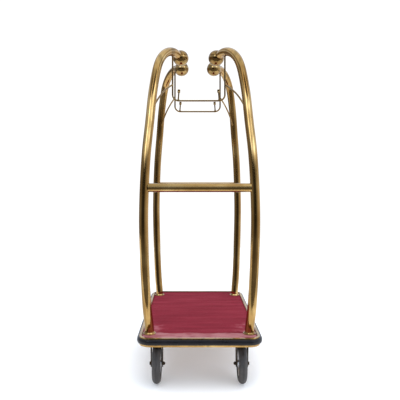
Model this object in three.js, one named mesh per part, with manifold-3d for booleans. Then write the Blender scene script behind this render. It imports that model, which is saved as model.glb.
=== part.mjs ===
// Hotel luggage cart: brass posts, garment hanger frames, carpeted deck and four casters.
// Millimetres. +Z is up, the length lies along Y and the width along X. The floor is z = 0.
import * as THREE from 'three';
import { mergeVertices } from 'three/addons/utils/BufferGeometryUtils.js';
import Module from 'manifold-3d';

const wasm = await Module();
wasm.setup();

// ---------------------------------------------------------------- driving dimensions

const GAP = 0.3;                 // clearance between pieces that touch

// Deck. Its outline is one rounded rectangle, and every edge piece is an offset from it.
const DECK_HALF_X = 319;
const DECK_HALF_Y = 559;
const DECK_CORNER_RADIUS = 60;
const CORNER_STEPS = 5;
const CHANNEL_BOTTOM = 231;
const CHANNEL_TOP = 278;
const CHANNEL_WALL = 2;
const CHANNEL_UPPER_LIP = 6;     // brass seen above the bumper
const CHANNEL_LOWER_LIP = 11;    // and below it
const CHANNEL_LIP_OUT = 3;       // how far both lips stand out past the deck outline
const CARPET_LIP = 10;           // how far the channel's top lip reaches in over the deck
const BOARD_BOTTOM = 250;
const BOARD_THICKNESS = 18;
const CARPET_THICKNESS = 5;
const BUMPER_PROUD = 15;         // how far the rubber stands out past the channel
const BUMPER_SHOULDER = 5;       // flat part of that before the face rounds over
const MEMBER_HALF_WIDTH = 20;
const MEMBER_WALL = 2;

// Posts. Each bends in one upright plane that runs in towards the middle of the cart.
const POST_X = 271;
const POST_Y = 458;
const POST_PLANE_ANGLE = THREE.MathUtils.degToRad(62);
const POST_RADIUS = 25;
const POST_WALL = 2;
const POST_SIDES = 12;
const SAMPLES_PER_KNOT = 2;
const HOOK_RADIUS = 205;
const HOOK_CENTRE_REACH = 270;
const HOOK_CENTRE_Z = 1650;
const HOOK_START_DEG = 28;
const HOOK_END_DEG = 108;
const BALL_DEG = 113;
const BALL_RADIUS = 47;
const BALL_WALL = 2;

const FLANGE_RADIUS = 35;
const FLANGE_HEIGHT = 15;
const FLANGE_RIM = 8;            // height of the upright edge, before it slopes up to the post
const STUD_RADIUS = 6;
const STUD_NUT_RADIUS = 11;
const STUD_NUT_HEIGHT = 9;
const STUD_PLUG_LENGTH = 25;

// Push bars
const PUSH_BAR_Z = 1063;
const PUSH_BAR_RADIUS = 24;
const PUSH_BAR_SIDES = 16;

// Garment hanger frames
const ROD_RADIUS = 5;
const ROD_SIDES = 8;
const HANGER_REACH = 251;        // where the uprights hang, measured in from the post's foot
const HANGER_BAR_Z = 1568;
const HANGER_BEND_RADIUS = 36;
const BRACE_TOP_Z = 1662;
const BRACE_FOOT_Z = 1425;
const BRACE_ELBOW = [55, 1575];  // reach and height the rod bows towards

// Garment pegs
const PEG_X = 120;
const PEG_HEIGHT = 66;
const PEG_STEM_RADIUS = 4.5;
const PEG_LEAN = THREE.MathUtils.degToRad(4);
const PEG_KNOB_RADIUS = 8.5;
const PEG_KNOB_HEIGHT = 19;

// Casters
const AXLE_Z = 105;
const TYRE_WIDTH = 46;
const RIM_RADIUS = 72;
const RIM_HALF_WIDTH = 17;
const WEB_HALF_WIDTH = 5;
const HUB_RADIUS = 17;
const FRONT_CASTER_X = 231;
const FRONT_CASTER_Y = -442;
const REAR_CASTER_X = 200;
const REAR_CASTER_Y = 425;
const REAR_TRAIL = 35;           // wheel centre behind the kingpin
const FORK_INNER_HALF = 28;      // half the clear width between the fork legs
const FORK_LEG_THICKNESS = 5;
const FORK_END_RADIUS = 19;      // rounded end of each leg, round the axle
const CROWN_HALF_LENGTH = 36;    // half the width of a leg at its top
const AXLE_RADIUS = 6;
const AXLE_HEAD_RADIUS = 10;     // bolt head and nut
const AXLE_HEAD_HEIGHT = 7;
const AXLE_NUT_HEIGHT = 9;
const CASTER_PLATE_WIDTH = 92;
const CASTER_PLATE_LENGTH = 114;
const CASTER_PLATE_TOP = CHANNEL_BOTTOM + 1 - GAP;
const CASTER_PLATE_THICKNESS = 4;
const MEMBER_BOTTOM = CASTER_PLATE_TOP + GAP;
const MEMBER_SPREAD = 36;        // each pair of cross members, either side of its casters
const MEMBER_LENGTH = 512;       // ends between the post anchors

// ---------------------------------------------------------------- materials

const finish = (color, roughness, metalness) =>
  new THREE.MeshStandardMaterial({ color, roughness, metalness });

const brass = finish(0xb8924a, 0.18, 1);
const rubber = finish(0x1c1c1e, 0.7, 0);
const tyreRubber = finish(0x2b2c2f, 0.75, 0);
const carpetPile = finish(0x7a1f28, 0.95, 0);
const plywood = finish(0xa98258, 0.8, 0);
const steel = finish(0x8c8f93, 0.35, 1);
const darkSteel = finish(0x3c342b, 0.45, 0.9);

// ---------------------------------------------------------------- solid helpers

// A three.js geometry as a manifold solid.
function toSolid(geometry) {
  const bare = geometry.clone();
  bare.deleteAttribute('normal');
  bare.deleteAttribute('uv');
  const merged = mergeVertices(bare, 1e-4);
  const mesh = new wasm.Mesh({
    numProp: 3,
    vertProperties: new Float32Array(merged.attributes.position.array),
    triVerts: new Uint32Array(merged.index.array),
  });
  return new wasm.Manifold(mesh);
}

// A manifold solid as a three.js geometry.
function toGeometry(solid) {
  const mesh = solid.getMesh();
  const geometry = new THREE.BufferGeometry();
  geometry.setAttribute('position', new THREE.BufferAttribute(mesh.vertProperties, 3));
  geometry.setIndex(new THREE.BufferAttribute(mesh.triVerts, 1));
  geometry.computeVertexNormals();
  return geometry;
}

const cut = (body, ...tools) =>
  toGeometry(tools.reduce((rest, tool) => rest.subtract(toSolid(tool)), toSolid(body)));

const join = (...pieces) =>
  toGeometry(pieces.slice(1).reduce((sum, piece) => sum.add(toSolid(piece)), toSolid(pieces[0])));

function box(sizeX, sizeY, sizeZ, x, y, z) {
  return new THREE.BoxGeometry(sizeX, sizeY, sizeZ).translate(x, y, z);
}

// A solid of revolution about Z from [radius, z] points that run from the axis back to the axis.
function turned(points, sides) {
  const profile = points.map(([radius, z]) => new THREE.Vector2(radius, z));
  return new THREE.LatheGeometry(profile, sides).rotateX(Math.PI / 2);
}

// A cylinder along Z.
function rod(radius, bottom, top, sides) {
  return turned([[0, bottom], [radius, bottom], [radius, top], [0, top]], sides);
}

const circle = (radius, sides) =>
  Array.from({ length: sides }, (_, i) => {
    const angle = (2 * Math.PI * i) / sides;
    return new THREE.Vector2(radius * Math.cos(angle), radius * Math.sin(angle));
  });

// The direction of a path of points at point i, halfway between the runs either side of it.
function pathDirection(points, i) {
  const direction = new THREE.Vector3();
  if (i > 0) direction.add(points[i].clone().sub(points[i - 1]).normalize());
  if (i < points.length - 1) direction.add(points[i + 1].clone().sub(points[i]).normalize());
  return direction.normalize();
}

// One ring of points round each point of a path, all turned the same way.
function ringsAlong(points, radius, sides) {
  let previous = pathDirection(points, 0);
  const side = new THREE.Vector3(0, 1, 0).cross(previous);
  if (side.length() < 0.1) side.set(1, 0, 0);
  side.normalize();
  return points.map((centre, i) => {
    const direction = pathDirection(points, i);
    side.applyQuaternion(new THREE.Quaternion().setFromUnitVectors(previous, direction));
    previous = direction;
    const other = direction.clone().cross(side);
    return circle(radius, sides).map((p) =>
      centre.clone().addScaledVector(side, p.x).addScaledVector(other, p.y));
  });
}

// A round pipe through a list of points, cut square at both ends. With no bore it is a rod.
function pipe(points, radius, sides, bore = 0) {
  const outer = ringsAlong(points, radius, sides);
  const inner = bore > 0 ? ringsAlong(points, bore, sides) : points.map((point) => [point]);
  const vertices = [...outer.flat(), ...inner.flat()];
  const innerStart = outer.length * sides;
  const outerAt = (ring, i) => ring * sides + (i % sides);
  const innerAt = (ring, i) => (bore > 0 ? innerStart + outerAt(ring, i) : innerStart + ring);
  const last = points.length - 1;
  const index = [];
  const face = (a, b, c, d) => {
    index.push(a, b, c);
    if (d !== a && d !== c) index.push(a, c, d);
  };
  for (let i = 0; i < sides; i += 1) {
    for (let ring = 0; ring < last; ring += 1) {
      face(outerAt(ring, i), outerAt(ring, i + 1), outerAt(ring + 1, i + 1), outerAt(ring + 1, i));
      if (bore > 0) {
        face(innerAt(ring, i + 1), innerAt(ring, i), innerAt(ring + 1, i), innerAt(ring + 1, i + 1));
      }
    }
    face(outerAt(0, i + 1), outerAt(0, i), innerAt(0, i), innerAt(0, i + 1));
    face(outerAt(last, i), outerAt(last, i + 1), innerAt(last, i + 1), innerAt(last, i));
  }
  const geometry = new THREE.BufferGeometry();
  geometry.setFromPoints(vertices);
  geometry.setIndex(index);
  return mergeVertices(geometry);
}

// ---------------------------------------------------------------- deck

// The deck outline, moved outwards by offset, as a closed loop of points.
function deckOutline(offset) {
  const radius = DECK_CORNER_RADIUS + offset;
  const centreX = DECK_HALF_X - DECK_CORNER_RADIUS;
  const centreY = DECK_HALF_Y - DECK_CORNER_RADIUS;
  const corners = [[1, 1], [-1, 1], [-1, -1], [1, -1]];
  return corners.flatMap(([sx, sy], quarter) =>
    Array.from({ length: CORNER_STEPS + 1 }, (_, i) => {
      const angle = (quarter + i / CORNER_STEPS) * (Math.PI / 2);
      return new THREE.Vector2(sx * centreX + radius * Math.cos(angle),
        sy * centreY + radius * Math.sin(angle));
    }));
}

// A closed [offset, z] profile carried round the deck outline. The profile runs anticlockwise.
function sweptRoundDeck(profile) {
  const loops = profile.map(([offset, z]) =>
    deckOutline(offset).map((point) => [point.x, point.y, z]));
  const count = loops[0].length;
  const index = [];
  loops.forEach((_, row) => {
    const next = (row + 1) % loops.length;
    for (let i = 0; i < count; i += 1) {
      const j = (i + 1) % count;
      const a = row * count + i;
      const b = row * count + j;
      const c = next * count + j;
      const d = next * count + i;
      index.push(a, b, c, a, c, d);
    }
  });
  const geometry = new THREE.BufferGeometry();
  geometry.setAttribute('position', new THREE.Float32BufferAttribute(loops.flat(2), 3));
  geometry.setIndex(index);
  geometry.computeVertexNormals();
  return geometry;
}

// A flat panel with the deck's outline moved inwards, with a round hole at each post.
function deckPanel(inset, bottom, top, holeRadius) {
  const shape = new THREE.Shape(deckOutline(-inset));
  for (const [sx, sy] of Object.values(CORNERS)) {
    const hole = circle(holeRadius, 12).map((p) =>
      new THREE.Vector2(p.x + sx * POST_X, p.y + sy * POST_Y));
    shape.holes.push(new THREE.Path(hole));
  }
  const options = { depth: top - bottom, bevelEnabled: false };
  return new THREE.ExtrudeGeometry(shape, options).translate(0, 0, bottom);
}

// Brass channel: a web against the board's edge, lips above and below the bumper, and a flange
// that laps in over the carpet's edge.
function edgeChannel() {
  const web = -CHANNEL_WALL;
  const chamfer = CHANNEL_LIP_OUT / 2;
  return sweptRoundDeck([
    [web, CHANNEL_BOTTOM],
    [CHANNEL_LIP_OUT, CHANNEL_BOTTOM],
    [CHANNEL_LIP_OUT, CHANNEL_BOTTOM + CHANNEL_LOWER_LIP],
    [0, CHANNEL_BOTTOM + CHANNEL_LOWER_LIP],
    [0, CHANNEL_TOP - CHANNEL_UPPER_LIP],
    [CHANNEL_LIP_OUT, CHANNEL_TOP - CHANNEL_UPPER_LIP],
    [CHANNEL_LIP_OUT, CHANNEL_TOP - chamfer],
    [CHANNEL_LIP_OUT - chamfer, CHANNEL_TOP],
    [-CARPET_LIP, CHANNEL_TOP],
    [-CARPET_LIP, CHANNEL_TOP - CHANNEL_WALL],
    [web, CHANNEL_TOP - CHANNEL_WALL],
  ]);
}

// Rubber bumper with a rounded outer face, seated between the channel's lips.
function bumper() {
  const seatBottom = CHANNEL_BOTTOM + CHANNEL_LOWER_LIP + GAP;
  const seatTop = CHANNEL_TOP - CHANNEL_UPPER_LIP - GAP;
  const middle = (seatBottom + seatTop) / 2;
  const halfHeight = (seatTop - seatBottom) / 2;
  const bulge = BUMPER_PROUD - BUMPER_SHOULDER;
  const steps = 6;
  const face = Array.from({ length: steps + 1 }, (_, i) => {
    const angle = (-0.5 + i / steps) * Math.PI;
    return [BUMPER_SHOULDER + bulge * Math.cos(angle), middle + halfHeight * Math.sin(angle)];
  });
  return sweptRoundDeck([[GAP, seatBottom], ...face, [GAP, seatTop]]);
}

// One steel tube across the deck, square-cut and open at both ends.
function crossMember(y) {
  const height = BOARD_BOTTOM - GAP - MEMBER_BOTTOM;
  const innerHalf = MEMBER_HALF_WIDTH - MEMBER_WALL;
  const rectangle = (half, low, high) =>
    [[-half, low], [half, low], [half, high], [-half, high]].map(([u, v]) => new THREE.Vector2(u, v));
  const section = new THREE.Shape(rectangle(MEMBER_HALF_WIDTH, 0, height));
  section.holes.push(new THREE.Path(rectangle(innerHalf, MEMBER_WALL, height - MEMBER_WALL)));
  return new THREE.ExtrudeGeometry(section, { depth: MEMBER_LENGTH, bevelEnabled: false })
    .rotateX(Math.PI / 2)
    .rotateZ(Math.PI / 2)
    .translate(-MEMBER_LENGTH / 2, y, MEMBER_BOTTOM);
}

// ---------------------------------------------------------------- posts

const CORNERS = {
  front_left: [-1, -1],
  front_right: [1, -1],
  rear_left: [-1, 1],
  rear_right: [1, 1],
};

const BOARD_TOP = BOARD_BOTTOM + BOARD_THICKNESS;
const CARPET_TOP = BOARD_TOP + GAP + CARPET_THICKNESS;
const POST_FOOT = BOARD_TOP + GAP;

// The shaft of a post as [reach, height]: reach is measured in from the foot, along its plane.
// It starts a little below the foot, where it is cut off level.
const SHAFT = [
  [0, 261.6],
  [-1, 298.6],
  [-24, 420],
  [-49, 690],
  [-57, 930],
  [-34, 1225],
  [4, 1426],
  [38, 1600],
];

// A [reach, height] point at an angle round the hook at the top of the post.
function hookPoint(degrees) {
  const angle = THREE.MathUtils.degToRad(degrees);
  return [HOOK_CENTRE_REACH - HOOK_RADIUS * Math.cos(angle),
    HOOK_CENTRE_Z + HOOK_RADIUS * Math.sin(angle)];
}

// A [reach, height] point of a post as a point in space, for the corner with signs sx and sy.
function onPost([reach, height], [sx, sy]) {
  return new THREE.Vector3(
    sx * (POST_X - reach * Math.cos(POST_PLANE_ANGLE)),
    sy * (POST_Y - reach * Math.sin(POST_PLANE_ANGLE)),
    height);
}

function postCurve(corner) {
  const hookSteps = 4;
  const hook = Array.from({ length: hookSteps + 1 }, (_, i) =>
    hookPoint(HOOK_START_DEG + (i / hookSteps) * (HOOK_END_DEG - HOOK_START_DEG)));
  const points = [...SHAFT, ...hook].map((point) => onPost(point, corner));
  return new THREE.CatmullRomCurve3(points, false, 'centripetal');
}

const postPath = (corner) => {
  const curve = postCurve(corner);
  return curve.getPoints(SAMPLES_PER_KNOT * (curve.points.length - 1));
};

// The post's axis at a height on its shaft, on the straight run between two of its path points.
function postAxisAt(height, corner) {
  const path = postPath(corner);
  const above = path.findIndex((point) => point.z > height);
  const low = path[above - 1];
  const high = path[above];
  return low.clone().lerp(high, (height - low.z) / (high.z - low.z));
}

function post(corner) {
  const below = box(2 * DECK_HALF_X, 2 * DECK_HALF_Y, POST_FOOT, 0, 0, POST_FOOT / 2);
  return cut(pipe(postPath(corner), POST_RADIUS, POST_SIDES, POST_RADIUS - POST_WALL), below);
}

// The same path as a plain rod, a little larger, to cut a seat for the post.
const postCutter = (corner) => pipe(postPath(corner), POST_RADIUS + GAP, POST_SIDES);

// Hollow spun ball with a neck hole where the end of the post goes in.
function finial(corner) {
  const ball = (radius, columns, rows) => turned(
    Array.from({ length: rows + 1 }, (_, i) => {
      const angle = -Math.PI / 2 + (Math.PI * i) / rows;
      const onAxis = i === 0 || i === rows;
      return [onAxis ? 0 : radius * Math.cos(angle), radius * Math.sin(angle)];
    }), columns);
  const centre = onPost(hookPoint(BALL_DEG), corner);
  const place = (geometry) => geometry.translate(centre.x, centre.y, centre.z);
  return cut(place(ball(BALL_RADIUS, 14, 8)), place(ball(BALL_RADIUS - BALL_WALL, 10, 6)),
    postCutter(corner));
}

// Low turned ring round the foot of a post, on the board where the carpet is cut out for it.
function flange(corner) {
  const top = POST_FOOT + FLANGE_HEIGHT;
  const disc = turned([
    [0, POST_FOOT],
    [FLANGE_RADIUS, POST_FOOT],
    [FLANGE_RADIUS, POST_FOOT + FLANGE_RIM],
    [FLANGE_RADIUS - 4, top - 2],
    [POST_RADIUS + 3, top],
    [0, top],
  ], 12);
  const [sx, sy] = corner;
  return cut(disc.translate(sx * POST_X, sy * POST_Y, 0), postCutter(corner));
}

// Plug in the foot of a post, with a stud down through the deck and a nut under the board.
function postAnchor([sx, sy]) {
  const plug = POST_RADIUS - POST_WALL - 3;
  const plugBottom = POST_FOOT + 1;
  const nutTop = BOARD_BOTTOM - GAP;
  return turned([
    [0, nutTop - STUD_NUT_HEIGHT],
    [STUD_NUT_RADIUS, nutTop - STUD_NUT_HEIGHT],
    [STUD_NUT_RADIUS, nutTop],
    [STUD_RADIUS, nutTop],
    [STUD_RADIUS, plugBottom],
    [plug, plugBottom],
    [plug, plugBottom + STUD_PLUG_LENGTH],
    [0, plugBottom + STUD_PLUG_LENGTH],
  ], 12).translate(sx * POST_X, sy * POST_Y, 0);
}

// Round bar between two posts, with its ends shaped to fit against them.
function pushBar(side) {
  const left = side < 0 ? CORNERS.front_left : CORNERS.rear_left;
  const right = side < 0 ? CORNERS.front_right : CORNERS.rear_right;
  const start = postAxisAt(PUSH_BAR_Z, left);
  const end = postAxisAt(PUSH_BAR_Z, right);
  const bar = pipe([start, end], PUSH_BAR_RADIUS, PUSH_BAR_SIDES, PUSH_BAR_RADIUS - POST_WALL);
  return cut(bar, postCutter(left), postCutter(right));
}

// ---------------------------------------------------------------- garment hanger frames

const HANGER_TOP_DEG =
  THREE.MathUtils.radToDeg(Math.acos((HOOK_CENTRE_REACH - HANGER_REACH) / HOOK_RADIUS));

// The point on the axis of a post's hook from which an upright of a hanger frame hangs.
const hangerTop = (corner) => onPost(hookPoint(HANGER_TOP_DEG), corner);

// U-shaped path: down from one hook, along the bottom bar and up to the other hook.
function hangerPath(side) {
  const left = hangerTop([-1, side]);
  const right = hangerTop([1, side]);
  const bendSteps = 4;
  const bends = [left, right].flatMap((top, end) =>
    Array.from({ length: bendSteps + 1 }, (_, i) => {
      const sx = Math.sign(top.x);
      const turn = end === 0 ? i / bendSteps : 1 - i / bendSteps;
      const angle = turn * (Math.PI / 2);
      const centreX = top.x - sx * HANGER_BEND_RADIUS;
      return new THREE.Vector3(centreX + sx * HANGER_BEND_RADIUS * Math.cos(angle), top.y,
        HANGER_BAR_Z + HANGER_BEND_RADIUS * (1 - Math.sin(angle)));
    }));
  return [left, ...bends, right];
}

const hangerFrame = (side) =>
  cut(pipe(hangerPath(side), ROD_RADIUS, ROD_SIDES), postCutter([-1, side]), postCutter([1, side]));

const hangerCutter = (side) => pipe(hangerPath(side), ROD_RADIUS + GAP, ROD_SIDES);

// Bowed rod from a post's shaft up to an upright of its hanger frame.
function brace(corner) {
  const foot = postAxisAt(BRACE_FOOT_Z, corner);
  const head = hangerTop(corner).setZ(BRACE_TOP_Z);
  const path = new THREE.QuadraticBezierCurve3(foot, onPost(BRACE_ELBOW, corner), head).getPoints(8);
  return cut(pipe(path, ROD_RADIUS, ROD_SIDES), postCutter(corner), hangerCutter(corner[1]));
}

// Knob-ended peg that stands on the bottom bar and leans in, to keep hangers on the bar.
function garmentPeg([sx, sy]) {
  const knobStart = PEG_HEIGHT - PEG_KNOB_HEIGHT;
  const peg = turned([
    [0, 0],
    [PEG_STEM_RADIUS, 0],
    [PEG_STEM_RADIUS, knobStart],
    [PEG_KNOB_RADIUS, knobStart + 2],
    [PEG_KNOB_RADIUS, PEG_HEIGHT - 3],
    [PEG_KNOB_RADIUS - 3, PEG_HEIGHT],
    [0, PEG_HEIGHT],
  ], 10);
  const y = hangerTop([sx, sy]).y;
  const placed = peg.rotateY(-sx * PEG_LEAN).translate(sx * PEG_X, y, HANGER_BAR_Z);
  return cut(placed, hangerCutter(sy));
}

// ---------------------------------------------------------------- casters

const TYRE_SIDES = 32;
const TYRE_TURN = Math.PI / TYRE_SIDES;                // puts a flat of the tyre on the floor
const WHEEL_RADIUS = AXLE_Z / Math.cos(TYRE_TURN);
const AXLE_HOLE = AXLE_RADIUS + GAP;

const FORK_OUTER_HALF = FORK_INNER_HALF + FORK_LEG_THICKNESS;

// A turned piece laid along X with its middle at a wheel's centre.
const alongX = (geometry, [x, y]) =>
  geometry.rotateY(Math.PI / 2).rotateX(TYRE_TURN).translate(x, y, AXLE_Z);

// The [radius, width] half-profile of a wheel part, mirrored into a closed loop.
const mirrored = (half) => {
  const other = half.map(([radius, width]) => [radius, -width]);
  return [...other, ...half.slice().reverse(), other[0]];
};

function tyre(centre) {
  const bead = RIM_RADIUS + 1;
  const half = TYRE_WIDTH / 2;
  const tread = mirrored([
    [bead, RIM_HALF_WIDTH],
    [WHEEL_RADIUS - 20, half],
    [WHEEL_RADIUS - 9, half - 4],
    [WHEEL_RADIUS - 3, half - 10],
    [WHEEL_RADIUS, half - 17],
  ]);
  return alongX(turned(tread, TYRE_SIDES), centre);
}

function wheelCentre(centre) {
  const hubHalf = FORK_INNER_HALF - 2;
  return alongX(turned(mirrored([
    [AXLE_HOLE, hubHalf],
    [HUB_RADIUS, hubHalf],
    [HUB_RADIUS + 3, WEB_HALF_WIDTH + 1],
    [RIM_RADIUS - 12, WEB_HALF_WIDTH],
    [RIM_RADIUS - 8, RIM_HALF_WIDTH],
    [RIM_RADIUS, RIM_HALF_WIDTH],
  ]), 16), centre);
}

// Bolt with its head outside the outer leg; inner is the sign of X towards the cart's middle.
function axleBolt(centre, inner) {
  const headStart = -FORK_OUTER_HALF - GAP;
  const tip = FORK_OUTER_HALF + AXLE_NUT_HEIGHT + 3;
  const bolt = turned([
    [0, headStart - AXLE_HEAD_HEIGHT],
    [AXLE_HEAD_RADIUS, headStart - AXLE_HEAD_HEIGHT],
    [AXLE_HEAD_RADIUS, headStart],
    [AXLE_RADIUS, headStart],
    [AXLE_RADIUS, tip],
    [0, tip],
  ], 12);
  if (inner < 0) bolt.rotateX(Math.PI);
  return alongX(bolt, centre);
}

function axleNut(centre, inner) {
  const near = FORK_OUTER_HALF + GAP;
  const nut = turned([
    [AXLE_HOLE, near],
    [AXLE_HEAD_RADIUS, near],
    [AXLE_HEAD_RADIUS, near + AXLE_NUT_HEIGHT],
    [AXLE_HOLE, near + AXLE_NUT_HEIGHT],
    [AXLE_HOLE, near],
  ], 12);
  if (inner < 0) nut.rotateX(Math.PI);
  return alongX(nut, centre);
}

// The two legs of a fork, tapering from the crown to a rounded end with the axle hole.
function forkLegs(centre, crownY, crownZ) {
  const [x, y] = centre;
  const outline = new THREE.Shape();
  outline.moveTo(crownY - CROWN_HALF_LENGTH, crownZ);
  outline.lineTo(y - FORK_END_RADIUS, AXLE_Z);
  outline.absarc(y, AXLE_Z, FORK_END_RADIUS, Math.PI, 2 * Math.PI, false);
  outline.lineTo(crownY + CROWN_HALF_LENGTH, crownZ);
  const hole = circle(AXLE_HOLE, 12).map((p) => new THREE.Vector2(p.x + y, p.y + AXLE_Z));
  outline.holes.push(new THREE.Path(hole));
  const options = { depth: FORK_LEG_THICKNESS, bevelEnabled: false, curveSegments: 8 };
  return [-FORK_OUTER_HALF, FORK_INNER_HALF].map((start) =>
    new THREE.ExtrudeGeometry(outline, options)
      .applyMatrix4(new THREE.Matrix4().makeBasis(
        new THREE.Vector3(0, 1, 0), new THREE.Vector3(0, 0, 1), new THREE.Vector3(1, 0, 0)))
      .translate(x + start, 0, 0));
}

const PLATE_BOTTOM = CASTER_PLATE_TOP - CASTER_PLATE_THICKNESS;

const casterPlate = (x, y) =>
  box(CASTER_PLATE_WIDTH, CASTER_PLATE_LENGTH, CASTER_PLATE_THICKNESS, x, y,
    CASTER_PLATE_TOP - CASTER_PLATE_THICKNESS / 2);

// Front caster: plate and legs in one piece, so the wheel always points along the cart.
function rigidFork(centre) {
  const [x, y] = centre;
  return join(casterPlate(x, y), ...forkLegs(centre, y, PLATE_BOTTOM + 1));
}

const CROWN_TOP = PLATE_BOTTOM - 6;
const CROWN_THICKNESS = 5;
const KINGPIN_RADIUS = 8;
const KINGPIN_HEAD_RADIUS = 12;
const KINGPIN_HEAD_HEIGHT = 3.5;
const RACE_RADIUS = 32;

// Rear caster: fixed plate with the kingpin riveted into it and headed over under the crown.
function swivelPlate([x, y]) {
  const headTop = CROWN_TOP - CROWN_THICKNESS - GAP;
  const kingpin = turned([
    [0, headTop - KINGPIN_HEAD_HEIGHT],
    [KINGPIN_HEAD_RADIUS, headTop - KINGPIN_HEAD_HEIGHT],
    [KINGPIN_HEAD_RADIUS, headTop],
    [KINGPIN_RADIUS, headTop],
    [KINGPIN_RADIUS, PLATE_BOTTOM + 1],
    [0, PLATE_BOTTOM + 1],
  ], 12);
  return join(casterPlate(x, y), kingpin.translate(x, y, 0));
}

// Rear caster: crown with a raised bearing race, and two legs that trail the wheel.
function swivelFork([x, y], centre) {
  const crown = box(2 * FORK_OUTER_HALF, 2 * CROWN_HALF_LENGTH, CROWN_THICKNESS, x, y,
    CROWN_TOP - CROWN_THICKNESS / 2);
  const race = rod(RACE_RADIUS, CROWN_TOP - 1, PLATE_BOTTOM - GAP, 16).translate(x, y, 0);
  const bore = rod(KINGPIN_RADIUS + GAP, AXLE_Z, CASTER_PLATE_TOP, 12).translate(x, y, 0);
  return cut(join(crown, race, ...forkLegs(centre, y, CROWN_TOP - 1)), bore);
}

// ---------------------------------------------------------------- assembly

const cart = new THREE.Group();

function add(name, geometry, material) {
  const mesh = new THREE.Mesh(geometry, material);
  mesh.name = name;
  cart.add(mesh);
}

add('deck_board', deckPanel(CHANNEL_WALL + GAP, BOARD_BOTTOM, BOARD_TOP, STUD_RADIUS + GAP), plywood);
add('carpet', deckPanel(CARPET_LIP + GAP, BOARD_TOP + GAP, CARPET_TOP, FLANGE_RADIUS + GAP), carpetPile);
add('edge_channel', edgeChannel(), brass);
add('bumper', bumper(), rubber);

for (const [end, y] of [['front', FRONT_CASTER_Y], ['rear', REAR_CASTER_Y]]) {
  const outwards = Math.sign(y) * MEMBER_SPREAD;
  add(`cross_member_${end}_outer`, crossMember(y + outwards), steel);
  add(`cross_member_${end}_inner`, crossMember(y - outwards), steel);
}

for (const [name, corner] of Object.entries(CORNERS)) {
  add(`post_${name}`, post(corner), brass);
  add(`finial_${name}`, finial(corner), brass);
  add(`post_flange_${name}`, flange(corner), brass);
  add(`post_anchor_${name}`, postAnchor(corner), steel);
  add(`brace_${name}`, brace(corner), brass);
  add(`garment_peg_${name}`, garmentPeg(corner), brass);
}

for (const [end, side] of [['front', -1], ['rear', 1]]) {
  add(`push_bar_${end}`, pushBar(side), brass);
  add(`hanger_frame_${end}`, hangerFrame(side), brass);
}

for (const [name, [sx, sy]] of Object.entries(CORNERS)) {
  const rear = sy > 0;
  const mount = rear ? [sx * REAR_CASTER_X, REAR_CASTER_Y] : [sx * FRONT_CASTER_X, FRONT_CASTER_Y];
  const centre = rear ? [mount[0], mount[1] + REAR_TRAIL] : mount;
  if (rear) {
    add(`caster_plate_${name}`, swivelPlate(mount), darkSteel);
    add(`swivel_fork_${name}`, swivelFork(mount, centre), darkSteel);
  } else {
    add(`rigid_fork_${name}`, rigidFork(centre), darkSteel);
  }
  add(`wheel_centre_${name}`, wheelCentre(centre), steel);
  add(`tyre_${name}`, tyre(centre), tyreRubber);
  add(`axle_bolt_${name}`, axleBolt(centre, -sx), steel);
  add(`axle_nut_${name}`, axleNut(centre, -sx), steel);
}

export default cart;
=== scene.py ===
"""Looks of the hotel luggage cart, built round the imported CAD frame. Metres, Z up, floor at z = 0."""
import math

import bpy
from mathutils import Matrix, Vector, noise


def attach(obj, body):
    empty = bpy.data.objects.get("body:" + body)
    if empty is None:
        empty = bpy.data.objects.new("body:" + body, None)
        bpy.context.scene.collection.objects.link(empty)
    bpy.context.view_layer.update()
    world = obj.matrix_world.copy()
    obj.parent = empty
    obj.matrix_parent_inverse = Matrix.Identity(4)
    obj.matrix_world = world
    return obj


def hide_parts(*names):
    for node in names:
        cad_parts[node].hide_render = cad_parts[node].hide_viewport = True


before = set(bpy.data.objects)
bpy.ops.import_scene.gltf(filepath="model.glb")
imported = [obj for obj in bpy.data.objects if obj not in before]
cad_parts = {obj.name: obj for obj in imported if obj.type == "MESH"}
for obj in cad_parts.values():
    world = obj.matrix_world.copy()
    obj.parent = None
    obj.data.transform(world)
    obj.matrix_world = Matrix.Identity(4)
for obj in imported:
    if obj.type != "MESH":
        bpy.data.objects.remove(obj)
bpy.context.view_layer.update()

# ---------------------------------------------------------------- driving dimensions

GAP = 0.0003  # clearance between pieces that touch

# Deck. Every edge piece follows one rounded rectangle at its own offset.
DECK_HALF_X = 0.319
DECK_HALF_Y = 0.559
DECK_CORNER_RADIUS = 0.060
CORNER_STEPS = 14
CHANNEL_BOTTOM = 0.231
CHANNEL_TOP = 0.278
CHANNEL_WALL = 0.002
UPPER_LIP = 0.006
LOWER_LIP = 0.011
LIP_OUT = 0.003
CARPET_LIP = 0.010
BOARD_BOTTOM = 0.250
BOARD_TOP = 0.268
CARPET_INSET = CARPET_LIP + GAP
CARPET_THICKNESS = 0.005
CARPET_BOTTOM = BOARD_TOP + GAP
CARPET_TOP = CARPET_BOTTOM + CARPET_THICKNESS
BUMPER_PROUD = 0.015

# Posts. Each bends in one upright plane that runs in towards the middle of the cart.
CORNERS = {
    "front_left": (-1, -1),
    "front_right": (1, -1),
    "rear_left": (-1, 1),
    "rear_right": (1, 1),
}
POST_X = 0.271
POST_Y = 0.458
POST_PLANE = math.radians(62)
POST_RADIUS = 0.025
POST_FOOT = BOARD_TOP + GAP
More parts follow.
